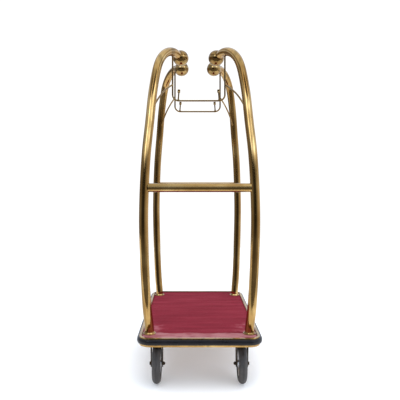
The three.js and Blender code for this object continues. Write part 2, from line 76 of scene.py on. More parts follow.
# The shaft of a post as (reach, height): reach is measured in from the foot, along its plane.
SHAFT = [
    (0.000, 0.2616),
    (-0.001, 0.2986),
    (-0.024, 0.420),
    (-0.049, 0.690),
    (-0.057, 0.930),
    (-0.034, 1.225),
    (0.004, 1.426),
    (0.038, 1.600),
]
HOOK_RADIUS = 0.205
HOOK_CENTRE_REACH = 0.270
HOOK_CENTRE_Z = 1.650
HOOK_START_DEG = 28
HOOK_END_DEG = 108
BALL_DEG = 113
BALL_RADIUS = 0.047
FLANGE_RADIUS = 0.035
FLANGE_HEIGHT = 0.015
STUD_RADIUS = 0.006

PUSH_BAR_Z = 1.063
PUSH_BAR_RADIUS = 0.024

# Garment hanger frames
ROD_RADIUS = 0.005
BRACE_RADIUS = ROD_RADIUS * 0.98
HANGER_REACH = 0.251
HANGER_BAR_Z = 1.568
HANGER_BEND_RADIUS = 0.036
BRACE_TOP_Z = 1.662
BRACE_FOOT_Z = 1.425
BRACE_ELBOW = (0.055, 1.575)
PEG_X = 0.120
PEG_HEIGHT = 0.066
PEG_KNOB_HEIGHT = 0.019
PEG_LEAN = math.radians(4)

# Casters
AXLE_Z = 0.105
FRONT_CASTER = (0.231, -0.442)
REAR_CASTER = (0.200, 0.425)
REAR_TRAIL = 0.035
RIM_RADIUS = 0.072
FORK_INNER_HALF = 0.028
FORK_LEG_THICKNESS = 0.005
FORK_OUTER_HALF = FORK_INNER_HALF + FORK_LEG_THICKNESS
FORK_END_RADIUS = 0.019
CROWN_HALF_LENGTH = 0.036
AXLE_RADIUS = 0.006
PLATE_TOP = CHANNEL_BOTTOM + 0.001 - GAP
PLATE_BOTTOM = PLATE_TOP - 0.004
PLATE_HALF = (0.046, 0.057)
CROWN_TOP = PLATE_BOTTOM - 0.006
CROWN_THICKNESS = 0.005

UP = Vector((0, 0, 1))


# ---------------------------------------------------------------- mesh helpers

class Shape:
    """Collects closed skins and makes one object of them."""

    def __init__(self):
        self.vertices = []
        self.faces = []

    def skin(self, rings, closed=False):
        """Skins a list of equal rings of points. Its ends are capped, or joined when it is closed."""
        start = len(self.vertices)
        count = len(rings[0])
        for ring in rings:
            self.vertices.extend(tuple(point) for point in ring)
        spans = len(rings) if closed else len(rings) - 1
        for row in range(spans):
            low = start + row * count
            high = start + ((row + 1) % len(rings)) * count
            for i in range(count):
                j = (i + 1) % count
                self.faces.append((low + i, low + j, high + j, high + i))
        if not closed:
            self.faces.append(tuple(start + i for i in reversed(range(count))))
            last = start + (len(rings) - 1) * count
            self.faces.append(tuple(last + i for i in range(count)))
        return self

    def lathe(self, profile, place=Matrix(), sides=48, closed=False):
        """A turned solid from (radius, height) points along local Z. Closed makes a ring of it."""
        rings = [[place @ Vector((radius * c, radius * s, height)) for c, s in unit_circle(sides)]
                 for radius, height in profile]
        return self.skin(rings, closed)

    def tube(self, path, radius, sides=32, level_foot=None):
        """A round bar along a path. level_foot slides its first ring to that height."""
        rings = []
        for centre, side, other in path_frames(path):
            rings.append([centre + radius * (c * side + s * other) for c, s in unit_circle(sides)])
        if level_foot is not None:
            run = (path[1] - path[0]).normalized()
            rings[0] = [point + run * ((level_foot - point.z) / run.z) for point in rings[0]]
        return self.skin(rings)

    def prism(self, outline, low, high):
        """A flat plate: an outline of (x, y) points between two heights."""
        return self.skin([[Vector((x, y, height)) for x, y in outline] for height in (low, high)])

    def build(self, name, material, bevel=0.0, sharp_deg=40):
        """Makes the object, smooth but for edges past sharp_deg, which a bevel of that width can round."""
        mesh = bpy.data.meshes.new(name)
        mesh.from_pydata(self.vertices, [], self.faces)
        mesh.materials.append(material)
        for polygon in mesh.polygons:
            polygon.use_smooth = True
        mesh.set_sharp_from_angle(angle=math.radians(sharp_deg))
        made = bpy.data.objects.new(name, mesh)
        bpy.context.scene.collection.objects.link(made)
        if bevel > 0:
            edge = made.modifiers.new("edge", "BEVEL")
            edge.width = bevel
            edge.segments = 2
            edge.limit_method = "ANGLE"
            edge.angle_limit = math.radians(sharp_deg)
            edge.harden_normals = True
        return made


def unit_circle(sides):
    angles = [2 * math.pi * i / sides for i in range(sides)]
    return [(math.cos(angle), math.sin(angle)) for angle in angles]


def path_frames(path):
    """Each point of a path with two directions across it, carried along without twisting."""
    directions = []
    for i in range(len(path)):
        before = path[max(i - 1, 0)]
        after = path[min(i + 1, len(path) - 1)]
        directions.append((after - before).normalized())
    side = Vector((0, 1, 0)).cross(directions[0])
    if side.length < 0.1:
        side = Vector((1, 0, 0))
    side.normalize()
    frames = []
    previous = directions[0]
    for point, direction in zip(path, directions):
        side = previous.rotation_difference(direction) @ side
        side = (side - direction * side.dot(direction)).normalized()
        frames.append((point, side, direction.cross(side)))
        previous = direction
    return frames


def aimed(centre, direction):
    """A matrix that puts local Z along a direction, with its origin at centre."""
    turn = UP.rotation_difference(Vector(direction).normalized())
    return Matrix.Translation(centre) @ turn.to_matrix().to_4x4()


def arc(centre_u, centre_v, radius, start_deg, end_deg, steps):
    angles = [math.radians(start_deg + (end_deg - start_deg) * i / steps) for i in range(steps + 1)]
    return [(centre_u + radius * math.cos(angle), centre_v + radius * math.sin(angle))
            for angle in angles]


def rounded_rectangle(half_x, half_y, radius, steps):
    corners = [(1, 1), (-1, 1), (-1, -1), (1, -1)]
    outline = []
    for quarter, (sx, sy) in enumerate(corners):
        outline += arc(sx * (half_x - radius), sy * (half_y - radius), radius,
                       90 * quarter, 90 * (quarter + 1), steps)
    return outline


def deck_outline(offset):
    return rounded_rectangle(DECK_HALF_X + offset, DECK_HALF_Y + offset,
                             DECK_CORNER_RADIUS + offset, CORNER_STEPS)


def round_deck(profile):
    """A closed (offset, z) profile carried round the deck outline."""
    loops = [[Vector((x, y, z)) for x, y in deck_outline(offset)] for offset, z in profile]
    return Shape().skin(loops, closed=True)


def bead(radius, thickness, height=0.0):
    """The (radius, height) profile of a small round ring."""
    steps = 8
    return arc(radius, height, thickness, 0, 360 - 360 / steps, steps - 1)


# ---------------------------------------------------------------- node helpers

class Nodes:
    """Short ways to add nodes to one tree. Every pattern starts from the same coordinates."""

    def __init__(self, tree, coordinates):
        self.tree = tree
        self.coordinates = tree.nodes.new("ShaderNodeTexCoord").outputs[coordinates]

    def link(self, source, target):
        self.tree.links.new(source, target)

    def stretched(self, scale):
        mapping = self.tree.nodes.new("ShaderNodeMapping")
        mapping.inputs["Scale"].default_value = scale
        self.link(self.coordinates, mapping.inputs["Vector"])
        return mapping.outputs["Vector"]

    def noise(self, scale, detail=3.0, roughness=0.55, stretch=(1, 1, 1)):
        node = self.tree.nodes.new("ShaderNodeTexNoise")
        node.inputs["Scale"].default_value = scale
        node.inputs["Detail"].default_value = detail
        node.inputs["Roughness"].default_value = roughness
        self.link(self.stretched(stretch), node.inputs["Vector"])
        return node.outputs["Fac"]

    def cells(self, scale):
        node = self.tree.nodes.new("ShaderNodeTexVoronoi")
        node.inputs["Scale"].default_value = scale
        self.link(self.coordinates, node.inputs["Vector"])
        return node.outputs["Distance"]

    def place(self, axis):
        node = self.tree.nodes.new("ShaderNodeSeparateXYZ")
        self.link(self.coordinates, node.inputs["Vector"])
        return node.outputs[axis]

    def maths(self, operation, first, second=0.0):
        node = self.tree.nodes.new("ShaderNodeMath")
        node.operation = operation
        for socket, value in zip(node.inputs, (first, second)):
            self.link_or_set(value, socket)
        return node.outputs["Value"]

    def span(self, value, low, high, to_low=0.0, to_high=1.0):
        """Carries value smoothly from low..high to to_low..to_high."""
        node = self.tree.nodes.new("ShaderNodeMapRange")
        node.interpolation_type = "SMOOTHSTEP"
        self.link(value, node.inputs["Value"])
        limits = {"From Min": low, "From Max": high, "To Min": to_low, "To Max": to_high}
        for socket, number in limits.items():
            node.inputs[socket].default_value = number
        return node.outputs["Result"]

    def ramp(self, value, *stops):
        node = self.tree.nodes.new("ShaderNodeValToRGB")
        ramp = node.color_ramp
        while len(ramp.elements) < len(stops):
            ramp.elements.new(0.5)
        for element, (position, colour) in zip(ramp.elements, stops):
            element.position = position
            element.color = (*colour, 1)
        self.link(value, node.inputs["Fac"])
        return node.outputs["Color"]

    def mix(self, factor, under, over):
        node = self.tree.nodes.new("ShaderNodeMix")
        node.data_type = "RGBA"
        for socket, value in {"Factor": factor, "A": under, "B": over}.items():
            self.link_or_set(value, node.inputs[socket])
        return node.outputs["Result"]

    def link_or_set(self, value, socket):
        if isinstance(value, (int, float)):
            socket.default_value = value
        elif isinstance(value, tuple):
            socket.default_value = (*value, 1)
        else:
            self.link(value, socket)


class Paint(Nodes):
    """One procedural material on a Principled shader, worked in the cart's own metres."""

    def __init__(self, name, **settings):
        self.material = bpy.data.materials.new(name)
        self.material.use_nodes = True
        super().__init__(self.material.node_tree, "Object")
        self.shader = self.tree.nodes["Principled BSDF"]
        for socket, value in settings.items():
            self.shader.inputs[socket.replace("_", " ")].default_value = value

    def colour(self, value):
        self.link(value, self.shader.inputs["Base Color"])

    def roughness(self, value):
        self.link(value, self.shader.inputs["Roughness"])

    def bump(self, height, depth, strength=1.0):
        """Adds relief of a real depth in metres, on top of any relief already there."""
        node = self.tree.nodes.new("ShaderNodeBump")
        node.inputs["Strength"].default_value = strength
        node.inputs["Distance"].default_value = depth
        self.link(height, node.inputs["Height"])
        normal = self.shader.inputs["Normal"]
        if normal.is_linked:
            self.link(normal.links[0].from_socket, node.inputs["Normal"])
        self.link(node.outputs["Normal"], normal)


# ---------------------------------------------------------------- materials

def brass(name, lay, painted_shade_level=1.0):
    """Polished, lacquered brass with cloudy tarnish, and painted dark reflection streaks that lay stretches
    along the tube, a little rougher there.
    """
    paint = Paint(name, Metallic=1.0, Coat_Weight=0.2, Coat_Roughness=0.06)
    cloud = paint.noise(6, detail=6)
    streak = paint.noise(34, detail=2, stretch=lay)
    # A painted_shade_level below 1 makes a darker copy of the brass: painted shade.
    pale, middle, deep = (
        tuple(level * painted_shade_level for level in colour)
        for colour in ((0.58, 0.39, 0.155), (0.46, 0.275, 0.090), (0.34, 0.185, 0.050)))
    polish = paint.ramp(cloud, (0.34, deep), (0.52, middle), (0.68, pale))
    # Darker streaks along the tube: painted dark reflections in the colour. The roughness rises there too.
    dull_and_painted_reflection = paint.span(streak, 0.46, 0.66, 0.0, 0.6)
    paint.colour(paint.mix(dull_and_painted_reflection, polish, tuple(level * painted_shade_level for level in (0.20, 0.125, 0.038))))
    worn = paint.span(cloud, 0.35, 0.7, 0.11, 0.05)
    paint.roughness(paint.maths("ADD", worn, paint.maths("MULTIPLY", dull_and_painted_reflection, 0.10)))
    paint.bump(paint.noise(9, detail=0, stretch=lay), 0.0008, 0.3)
    return paint.material


def carpet_pile():
    """Worn burgundy cut pile: streaks across the deck, a trodden strip in front, lighter patches at its
    sides.
    """
    paint = Paint("carpet_pile", Roughness=1.0, Specular_IOR_Level=0.1,
                  Sheen_Weight=0.06, Sheen_Roughness=0.5)
    paint.shader.inputs["Sheen Tint"].default_value = (0.75, 0.35, 0.38, 1)
    streak = paint.noise(9, detail=5, roughness=0.6, stretch=(0.35, 2.6, 1))
    base = paint.ramp(streak, (0.30, (0.158, 0.010, 0.019)), (0.5, (0.208, 0.015, 0.027)),
                      (0.72, (0.262, 0.027, 0.042)))
    wobble = paint.span(paint.noise(11, detail=4), 0.2, 0.8, -0.012, 0.012)
    edge = paint.maths("ADD", paint.place("Y"), wobble)
    front = paint.span(edge, -0.446, -0.458)
    trodden = paint.span(paint.noise(14, detail=4, stretch=(1, 1.8, 1)), 0.40, 0.72, 0.75, 0.25)
    worn = paint.mix(paint.maths("MULTIPLY", front, trodden), base, (0.44, 0.20, 0.20))
    # Lighter patches near the inner sides of the front posts.
    side = paint.span(paint.maths("ABSOLUTE", paint.place("X")), 0.17, 0.27)
    middle = paint.maths("ABSOLUTE", paint.maths("ADD", paint.place("Y"), 0.36))
    pale_mark = paint.maths("MULTIPLY", side, paint.span(middle, 0.13, 0.03))
    pale_side_patch = paint.maths("MULTIPLY", pale_mark, paint.span(paint.noise(23, detail=4), 0.42, 0.66, 0.0, 0.7))
    paint.colour(paint.mix(pale_side_patch, worn, (0.47, 0.16, 0.18)))
    paint.bump(paint.cells(620), 0.0012, 0.7)
    paint.bump(paint.noise(60, detail=3), 0.002, 0.35)
    return paint.material


def black_rubber():
    """Satin black extruded rubber with a dusty bloom and scuffs along it."""
    paint = Paint("bumper_rubber", Specular_IOR_Level=0.28)
    bloom = paint.noise(12, detail=5)
    pale_mark = paint.noise(45, detail=4, stretch=(1, 1, 6))
    base = paint.ramp(bloom, (0.35, (0.004, 0.003, 0.004)), (0.7, (0.008, 0.006, 0.008)))
    paint.colour(paint.mix(paint.span(pale_mark, 0.62, 0.8, 0.0, 0.4), base, (0.04, 0.037, 0.034)))
    paint.roughness(paint.span(bloom, 0.3, 0.7, 0.24, 0.34))
    paint.bump(paint.noise(700, detail=2), 0.0002, 0.4)
    return paint.material


def tyre_rubber():
    """Grey caster rubber with dusty, lighter patches."""
    paint = Paint("tyre_rubber")
    dust = paint.noise(30, detail=5)
    paint.colour(paint.ramp(dust, (0.3, (0.030, 0.026, 0.024)), (0.7, (0.075, 0.066, 0.059))))
    paint.roughness(paint.span(dust, 0.3, 0.7, 0.5, 0.75))
    paint.bump(paint.noise(420, detail=3), 0.0004, 0.5)
    return paint.material


def dark_bronze():
    """Dark bronze plating on pressed steel, rubbed and a little dusty."""
    paint = Paint("dark_bronze", Metallic=0.85)
    rub = paint.noise(26, detail=6)
    paint.colour(paint.ramp(rub, (0.35, (0.020, 0.013, 0.008)), (0.6, (0.045, 0.030, 0.018)),
                            (0.8, (0.16, 0.10, 0.055))))
    paint.roughness(paint.span(rub, 0.3, 0.75, 0.32, 0.52))
    paint.bump(paint.noise(300, detail=3), 0.0002, 0.5)
    return paint.material


def zinc_steel():
    """Zinc-plated steel with a mottled spangle and fine brushing."""
    paint = Paint("zinc_steel", Metallic=1.0)
    spangle = paint.cells(130)
    paint.colour(paint.ramp(spangle, (0.1, (0.42, 0.42, 0.43)), (0.7, (0.60, 0.60, 0.60))))
    paint.roughness(paint.span(paint.noise(40, detail=4), 0.3, 0.7, 0.28, 0.48))
    paint.bump(paint.noise(500, detail=2), 0.0001, 0.5)
    return paint.material


def plywood():
    """Plywood deck seen from below: long grain, pores and a few darker bands."""
    paint = Paint("plywood", Roughness=0.65)
    grain = paint.noise(5, detail=8, roughness=0.65, stretch=(9, 0.7, 9))
    pore = paint.noise(60, detail=3, stretch=(6, 0.4, 6))
    face = paint.ramp(grain, (0.32, (0.25, 0.145, 0.07)), (0.52, (0.42, 0.27, 0.145)),
                      (0.75, (0.55, 0.39, 0.23)))
    paint.colour(paint.mix(paint.span(pore, 0.58, 0.75, 0.0, 0.55), face, (0.16, 0.09, 0.045)))
    paint.bump(grain, 0.0006, 0.4)
    paint.bump(pore, 0.0003, 0.5)
    return paint.material


POST_BRASS = brass("post_brass", (1, 1, 0.04))
BAR_BRASS = brass("bar_brass", (0.04, 1, 1))
TRIM_BRASS = brass("trim_brass", (1, 1, 1))
# Balls and rods take darker copies of the same brass: painted shade.
SHADED_BALL_BRASS = brass("ball_brass_shaded", (1, 1, 1), painted_shade_level=0.75)
SHADED_ROD_BRASS = brass("rod_brass_shaded", (0.2, 0.2, 0.2), painted_shade_level=0.62)
CARPET_PILE = carpet_pile()
BUMPER_RUBBER = black_rubber()
TYRE_RUBBER = tyre_rubber()
DARK_BRONZE = dark_bronze()
ZINC_STEEL = zinc_steel()
PLYWOOD = plywood()


def fit(made, body, node):
    """Hands a finished piece over: the body it rides on, and the CAD node it stands for."""
    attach(made, body)
    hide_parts(node)


# ---------------------------------------------------------------- deck

def make_edge_channel():
    """Brass channel with rolled lips above and below the bumper, and a flange over the carpet's edge."""
    roll = LIP_OUT / 2
    top_roll = arc(LIP_OUT - roll, CHANNEL_TOP - roll, roll, 0, 90, 5)
    upper = [(0, CHANNEL_TOP - UPPER_LIP), (LIP_OUT, CHANNEL_TOP - UPPER_LIP), *top_roll]
    inner = CARPET_LIP - CHANNEL_WALL / 2
    hem = arc(-inner, CHANNEL_TOP - CHANNEL_WALL / 2, CHANNEL_WALL / 2, 90, 270, 5)
    foot_roll = arc(LIP_OUT - roll, CHANNEL_BOTTOM + roll, roll, 270, 360, 5)
    lower = [*foot_roll, (LIP_OUT, CHANNEL_BOTTOM + LOWER_LIP), (0, CHANNEL_BOTTOM + LOWER_LIP)]
    back = [(-CHANNEL_WALL, CHANNEL_TOP - CHANNEL_WALL), (-CHANNEL_WALL, CHANNEL_BOTTOM)]
    channel = round_deck([*lower, *upper, *hem, *back])
    fit(channel.build("edge_trim", TRIM_BRASS), "chassis", "edge_channel")


def make_bumper():
    """Black rubber section with a rounded face and a shallow groove above and below its crown."""
    low = CHANNEL_BOTTOM + LOWER_LIP + GAP
    high = CHANNEL_TOP - UPPER_LIP - GAP
    middle = (low + high) / 2
    half = (high - low) / 2
    shoulder = 0.006
    bulge = BUMPER_PROUD - shoulder
    groove_depth = 0.0009
    groove_deg = 34
    face = []
    steps = 28
    for i in range(steps + 1):
        angle = math.radians(-90 + 180 * i / steps)
        groove = groove_depth * math.exp(-((abs(math.degrees(angle)) - groove_deg) / 5) ** 2)
        out = shoulder + (bulge - groove) * math.cos(angle) ** 0.6
        face.append((out, middle + half * math.sin(angle)))
    rubber = round_deck([(GAP, low), *face, (GAP, high)])
    fit(rubber.build("bumper_strip", BUMPER_RUBBER, sharp_deg=60), "chassis", "bumper")


def carpet_height(x, y, inset):
    """Top of the pile: low rolling wear, and rounded down where it tucks under the trim."""
    rolling = 0.0005 * noise.noise(Vector((x * 9, y * 14, 0.3)))
    rough = 0.0003 * noise.noise(Vector((x * 60, y * 60, 2.1)))
    tuck = 0.0018 * math.exp(-inset / 0.004)
    headroom = 0.0008
    return CARPET_TOP - headroom + (rolling + rough) - tuck


def make_carpet():
    """Carpet sheet: rings of points that shrink from the deck's edge to its middle, top and underside."""
    half_x = DECK_HALF_X - CARPET_INSET
    half_y = DECK_HALF_Y - CARPET_INSET
    insets = [0.0, 0.0015, 0.003, 0.006] + [0.006 + 0.006 * i for i in range(1, 50)]

    def ring(inset):
        radius = max(DECK_CORNER_RADIUS - CARPET_INSET - inset, 0.0015)
        corners = rounded_rectangle(half_x - inset, half_y - inset, radius, CORNER_STEPS)
        return densify(corners, 0.012, half_x, half_y)

    rings = [[Vector((x, y, CARPET_BOTTOM)) for x, y in ring(inset)] for inset in (insets[-1], insets[0])]
    for inset in insets:
        rings.append([Vector((x, y, carpet_height(x, y, inset))) for x, y in ring(inset)])
    sheet = Shape().skin(rings).build("carpet_sheet", CARPET_PILE, sharp_deg=70)
    fit(sheet, "chassis", "carpet")


def densify(outline, pitch, half_x, half_y):
    """The outline with its four straight runs split, the same number of points whatever its size."""
    counts = [round(2 * half_x / pitch), round(2 * half_y / pitch)] * 2
    run = CORNER_STEPS + 1
    points = []
    for quarter in range(4):
        corner = outline[quarter * run:(quarter + 1) * run]
        following = outline[((quarter + 1) * run) % len(outline)]
        points += corner
        last = corner[-1]
        count = counts[quarter]
        for i in range(1, count):
            share = i / count
            points.append(tuple(a + (b - a) * share for a, b in zip(last, following)))
    return points


# ---------------------------------------------------------------- posts

def hook_point(degrees):
    """A (reach, height) point at an angle round the hook at the top of a post."""
    angle = math.radians(degrees)
    return (HOOK_CENTRE_REACH - HOOK_RADIUS * math.cos(angle),
            HOOK_CENTRE_Z + HOOK_RADIUS * math.sin(angle))


def on_post(reach_height, corner):
    """A (reach, height) point of a post as a point in space."""
    reach, height = reach_height
    sx, sy = corner
    return Vector((sx * (POST_X - reach * math.cos(POST_PLANE)),
                   sy * (POST_Y - reach * math.sin(POST_PLANE)),
                   height))


def smooth_path(points, steps):
    """A centripetal Catmull-Rom curve through the points."""
    ends = [2 * points[0] - points[1], *points, 2 * points[-1] - points[-2]]
    path = []
    for p0, p1, p2, p3 in zip(ends, ends[1:], ends[2:], ends[3:]):
        d0, d1, d2 = (math.sqrt((b - a).length) for a, b in ((p0, p1), (p1, p2), (p2, p3)))
        out = ((p1 - p0) / d0 - (p2 - p0) / (d0 + d1) + (p2 - p1) / d1) * d1
        into = ((p2 - p1) / d1 - (p3 - p1) / (d1 + d2) + (p3 - p2) / d2) * d1
        for i in range(steps):
            t = i / steps
            path.append(p1 + out * t + (3 * (p2 - p1) - 2 * out - into) * t ** 2
                        + (2 * (p1 - p2) + out + into) * t ** 3)
    return [*path, points[-1]]


def post_path(corner):
    hook_steps = 4
    sweep = HOOK_END_DEG - HOOK_START_DEG
    hook = [hook_point(HOOK_START_DEG + sweep * i / hook_steps) for i in range(hook_steps + 1)]
    return smooth_path([on_post(point, corner) for point in [*SHAFT, *hook]], 12)


def point_at(path, height):
    """The point of a path where it first climbs past a height."""
    for low, high in zip(path, path[1:]):
        if low.z <= height < high.z:
            return low.lerp(high, (height - low.z) / (high.z - low.z))
    raise ValueError(f"the path never reaches {height}")


def make_post(name, corner):
    path = [point for point in post_path(corner) if point.z > POST_FOOT + 0.001]
    foot = POST_FOOT + 0.0002
    start = path[0] - (path[1] - path[0]).normalized() * (path[0].z - foot)
    tube = Shape().tube([start, *path], POST_RADIUS, sides=56, level_foot=foot)
    fit(tube.build(f"corner_post_{name}", POST_BRASS), "chassis", f"post_{name}")


def make_finial(name, corner):
    """Spun ball in two halves with a fine closing seam, and a small collar where the post enters."""
    centre = on_post(hook_point(BALL_DEG), corner)
    tip = on_post(hook_point(HOOK_END_DEG), corner)
    neck = (centre - tip).normalized()
    rows = 44
    ball = []
    for i in range(rows + 1):
        latitude = math.radians(-89.5 + 179 * i / rows)
        seam = 0.0003 * math.exp(-(math.degrees(latitude) / 1.6) ** 2)
        radius = BALL_RADIUS - seam
        ball.append((radius * math.cos(latitude), radius * math.sin(latitude)))
    shape = Shape().lathe(ball, aimed(centre, neck), sides=64)
    collar_height = -math.sqrt(BALL_RADIUS ** 2 - POST_RADIUS ** 2)
    collar = bead(POST_RADIUS + 0.001, 0.0024, collar_height)
    shape.lathe(collar, aimed(centre, neck), sides=56, closed=True)
    fit(shape.build(f"ball_{name}", SHADED_BALL_BRASS), "chassis", f"finial_{name}")


def make_flange(name, corner):
    """Turned flange with a rolled edge, held down by four domed screws."""
    sx, sy = corner
    place = Matrix.Translation((sx * POST_X, sy * POST_Y, POST_FOOT))
    bore = POST_RADIUS + 0.0004
    collar = arc(bore + 0.0015, FLANGE_HEIGHT - 0.0015, 0.0015, 90, 0, 4)
    rim = arc(FLANGE_RADIUS - 0.002, 0.0065, 0.002, 90, 0, 4)
    profile = [(bore, 0.0), (bore, FLANGE_HEIGHT), *collar, (bore + 0.0045, 0.0095), *rim,
               (FLANGE_RADIUS, 0.0)]
    shape = Shape().lathe(profile, place, sides=64, closed=True)
    screw = [(0.0030, 0.0), (0.0030, 0.0012), (0.0022, 0.0020), (0.0008, 0.0024)]
    screw_circle = 0.0315
    for quarter in range(4):
        angle = math.radians(45 + 90 * quarter)
        spot = Vector((screw_circle * math.cos(angle), screw_circle * math.sin(angle), 0.0080))
        shape.lathe(screw, place @ Matrix.Translation(spot), sides=16)
    fit(shape.build(f"flange_{name}", TRIM_BRASS), "chassis", f"post_flange_{name}")


def hexagon(radius):
    angles = [math.radians(60 * i) for i in range(6)]
    return [(radius * math.cos(angle), radius * math.sin(angle)) for angle in angles]


def add_hex(shape, place, radius, low, high):
    """A hexagon nut or bolt head with its corners turned off at both ends."""
    trim = 0.12 * radius
    rings = [(radius - trim, low), (radius, low + trim / 2),
             (radius, high - trim / 2), (radius - trim, high)]
    shape.skin([[place @ Vector((x, y, height)) for x, y in hexagon(size)] for size, height in rings])


def make_anchor(name, corner):
    """Stud through the board, with a plug up inside the post and a washer and nut below."""
    sx, sy = corner
    place = Matrix.Translation((sx * POST_X, sy * POST_Y, 0))
    plug_radius = 0.020
    stud = [(STUD_RADIUS, BOARD_BOTTOM - 0.0085), (STUD_RADIUS, POST_FOOT + 0.001),
            (plug_radius, POST_FOOT + 0.001), (plug_radius, POST_FOOT + 0.026)]
    shape = Shape().lathe(stud, place, sides=24)
    shape.lathe([(0.011, BOARD_BOTTOM - 0.0019), (0.011, BOARD_BOTTOM - 0.0004)], place, sides=32)
    add_hex(shape, place, 0.0108, BOARD_BOTTOM - 0.0090, BOARD_BOTTOM - 0.0020)
    fit(shape.build(f"post_stud_{name}", ZINC_STEEL), "chassis", f"post_anchor_{name}")


def make_push_bar(end, side):
    """Straight bar between two posts, running a little way into each of them."""
    left = point_at(post_path((-1, side)), PUSH_BAR_Z)
    right = point_at(post_path((1, side)), PUSH_BAR_Z)
    run = (right - left).normalized()
    inside = POST_RADIUS - 0.006
    path = [left.lerp(right, i / 24) for i in range(25)]
    path[0] = left + run * inside
    path[-1] = right - run * inside
    shape = Shape().tube(path, PUSH_BAR_RADIUS, sides=56)
    fit(shape.build(f"push_rail_{end}", BAR_BRASS), "chassis", f"push_bar_{end}")


# ---------------------------------------------------------------- garment hanger frames

HANGER_TOP_DEG = math.degrees(math.acos((HOOK_CENTRE_REACH - HANGER_REACH) / HOOK_RADIUS))


def hanger_top(corner):
    return on_post(hook_point(HANGER_TOP_DEG), corner)


def make_hanger_frame(end, side):
    """U-shaped rod: down from one hook, along the bottom bar and up to the other, with weld beads on top."""
    left, right = hanger_top((-1, side)), hanger_top((1, side))
    bend_z = HANGER_BAR_Z + HANGER_BEND_RADIUS
    into_left = [Vector((x, left.y, z)) for x, z in
                 arc(left.x + HANGER_BEND_RADIUS, bend_z, HANGER_BEND_RADIUS, 180, 270, 10)]
    into_right = [Vector((x, right.y, z)) for x, z in
                  arc(right.x - HANGER_BEND_RADIUS, bend_z, HANGER_BEND_RADIUS, 270, 360, 10)]
    shape = Shape().tube([left, *into_left, *into_right, right], ROD_RADIUS, sides=20)
    for top in (left, right):
        weld = top - UP * (POST_RADIUS + 0.0005)
        shape.lathe(bead(ROD_RADIUS + 0.0004, 0.0016), Matrix.Translation(weld), sides=24, closed=True)
    fit(shape.build(f"hanger_rail_{end}", SHADED_ROD_BRASS), "chassis", f"hanger_frame_{end}")


def make_brace(name, corner):
    """Bowed rod from a post up to the upright of its hanger frame."""
    foot = point_at(post_path(corner), BRACE_FOOT_Z)
    head = hanger_top(corner)
    head.z = BRACE_TOP_Z
    elbow = on_post(BRACE_ELBOW, corner)
    steps = 28
    path = []
    for i in range(steps + 1):
        t = i / steps
        path.append(foot * (1 - t) ** 2 + elbow * (2 * t * (1 - t)) + head * t ** 2)
    shape = Shape().tube(path, BRACE_RADIUS, sides=20)
    fit(shape.build(f"side_brace_{name}", SHADED_ROD_BRASS), "chassis", f"brace_{name}")


def make_peg(name, corner):
    """Turned garment peg: a foot collar on the bar, a stem, and a flat-topped knob."""
    sx, _ = corner
    lean = Matrix.Rotation(-sx * PEG_LEAN, 4, "Y")
    place = Matrix.Translation((sx * PEG_X, hanger_top(corner).y, HANGER_BAR_Z)) @ lean
    knob = PEG_HEIGHT - PEG_KNOB_HEIGHT
    profile = [(0.0062, 0.0035), (0.0068, 0.0055), (0.0062, 0.0080), (0.0046, 0.0092), (0.0042, 0.0280),
               (0.0046, knob - 0.0010), (0.0074, knob), *arc(0.0065, knob + 0.0030, 0.0020, -30, 20, 3),
               (0.0079, knob + 0.0100), *arc(0.0062, PEG_HEIGHT - 0.0024, 0.0023, 0, 80, 5),
               (0.0030, PEG_HEIGHT)]
    shape = Shape().lathe(profile, place, sides=32)
    fit(shape.build(f"peg_{name}", SHADED_ROD_BRASS), "chassis", f"garment_peg_{name}")


# ---------------------------------------------------------------- casters

def along_x(centre):
    return aimed(centre, (1, 0, 0))


def mirrored(half):
    """A closed (radius, height) profile from its outer half, the other half mirrored."""
    return [*[(radius, -width) for radius, width in half], *reversed(half)]


def make_wheel(name, centre, body):
    """Round-crowned rubber tyre with two fine grooves, on a dished and riveted pressed-steel wheel."""
    radius = AXLE_Z - 0.0001
    crown = [(RIM_RADIUS + 0.0012, 0.0168), (0.0752, 0.0186), (0.0770, 0.0205), (0.0790, 0.0206),
             (0.0800, 0.0216), (0.0840, 0.0228), (0.0890, 0.0218), (0.0940, 0.0190), (0.0985, 0.0150),
             (0.1020, 0.0105), (0.1038, 0.0068), (radius, 0.0040), (radius, 0.0034),
             (radius - 0.0012, 0.0028), (radius - 0.0012, 0.0018), (radius, 0.0012)]
    tyre = Shape().lathe(mirrored(crown), along_x(centre), sides=112, closed=True)
    fit(tyre.build(f"tread_{name}", TYRE_RUBBER, sharp_deg=50), body, f"tyre_{name}")
    hub = 0.026
    disc = [(AXLE_RADIUS + 0.0005, hub), (0.0150, hub), (0.0170, hub - 0.0015), (0.0185, 0.0085),
            (0.0220, 0.0060), (0.0360, 0.0048), (0.0500, 0.0052), (0.0570, 0.0064), (0.0610, 0.0120),
            (0.0640, 0.0162), (0.0665, 0.0170), (0.0705, 0.0166), (RIM_RADIUS, 0.0150)]
    wheel = Shape().lathe(mirrored(disc), along_x(centre), sides=72, closed=True)
    rivet = [(0.0030, 0.0), (0.0030, 0.0008), (0.0018, 0.0018), (0.0006, 0.0021)]
    rivet_circle = 0.043
    for face in (1, -1):
        for i in range(6):
            angle = math.radians(60 * i)
            spot = centre + Vector((face * 0.0046, rivet_circle * math.cos(angle),
                                    rivet_circle * math.sin(angle)))
            wheel.lathe(rivet, aimed(spot, (face, 0, 0)), sides=14)
    fit(wheel.build(f"wheel_disc_{name}", ZINC_STEEL), body, f"wheel_centre_{name}")


